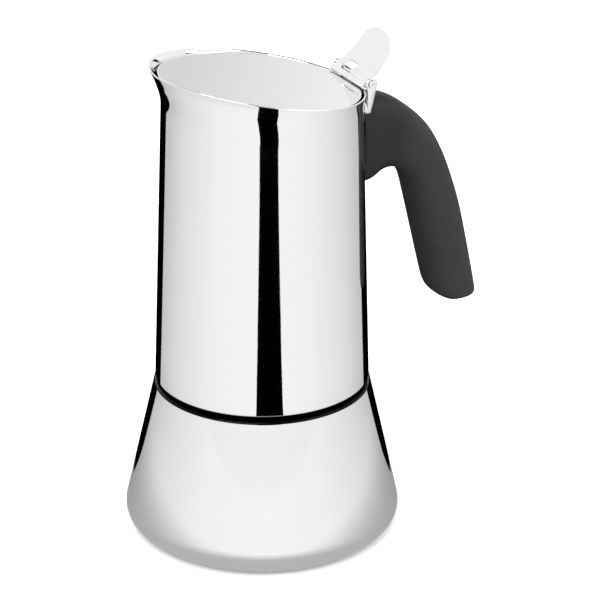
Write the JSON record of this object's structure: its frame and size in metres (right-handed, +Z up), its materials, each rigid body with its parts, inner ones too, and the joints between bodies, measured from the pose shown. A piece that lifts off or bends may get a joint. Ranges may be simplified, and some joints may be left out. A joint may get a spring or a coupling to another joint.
{
  "type": "moka pot",
  "caption": "Stovetop moka pot: conical boiler, tall spouted collector with a hinged lid and thumb lever, curved handle, funnel, gasket and filter inside.",
  "frame": {"origin": "centre of the base, on the resting face", "axes": "+Z up along the pot's axis, handle along +X, spout along -X, safety valve on the +Y side"},
  "size_m": [0.1432, 0.1088, 0.1898],
  "materials": {
    "mirror_steel": "mirror polished stainless steel",
    "satin_steel": "satin stainless steel",
    "valve_brass": "turned brass",
    "seal": "matt silicone",
    "grip_plastic": "soft charcoal plastic with a fine raised grid"
  },
  "bodies": {
    "boiler": {"base_disc": "satin_steel", "boiler_shell": "mirror_steel", "boiler_neck": "satin_steel", "valve_body": "valve_brass", "valve_washer": "seal", "valve_nut": "valve_brass", "valve_spring": "satin_steel", "valve_retainer": "valve_brass"},
    "plunger": {"valve_plunger": "satin_steel"},
    "funnel": {"funnel": "satin_steel", "funnel_strainer": "satin_steel"},
    "seal": {"gasket": "seal"},
    "filter": {"filter_plate": "satin_steel"},
    "collector": {"collector_shell": "mirror_steel", "collector_thread_ring": "satin_steel", "collector_floor": "satin_steel", "riser_column": "satin_steel", "column_cap": "satin_steel", "hinge_pin": "satin_steel", "hinge_bracket": "mirror_steel", "handle_tang": "satin_steel", "handle_grip": "grip_plastic", "handle_screw": "satin_steel"},
    "lid": {"lid_plate": "mirror_steel", "lid_lever": "mirror_steel"}
  },
  "joints": [
    {"name": "collector_lift", "type": "slide", "parent": "boiler", "child": "seal", "axis": [0, 0, 1], "range_m": [0, 0.18]},
    {"name": "thread_rise", "type": "slide", "parent": "seal", "child": "filter", "axis": [0, 0, 1], "range_m": [0, 0.0045]},
    {"name": "collector_turn", "type": "hinge", "parent": "filter", "child": "collector", "pos_m": [0, 0, 0], "axis": [0, 0, 1], "range_deg": [0, 540]},
    {"name": "lid_hinge", "type": "hinge", "parent": "collector", "child": "lid", "pos_m": [0.0384, 0, 0.1739], "axis": [0, 1, 0], "range_deg": [0, 78]},
    {"name": "funnel_lift", "type": "slide", "parent": "boiler", "child": "funnel", "axis": [0, 0, 1], "range_m": [0, 0.09]},
    {"name": "valve_pop", "type": "slide", "parent": "boiler", "child": "plunger", "axis": [0, 0.9751, 0.2219], "range_m": [0, 0.0015], "stiffness_N_per_m": 1500}
  ],
  "couplings": [
    {"joint": "thread_rise", "follows": "collector_turn", "m_per_rad": 0.00047746},
    {"joint": "funnel_lift", "follows": "collector_lift", "ratio": 0.5}
  ]
}
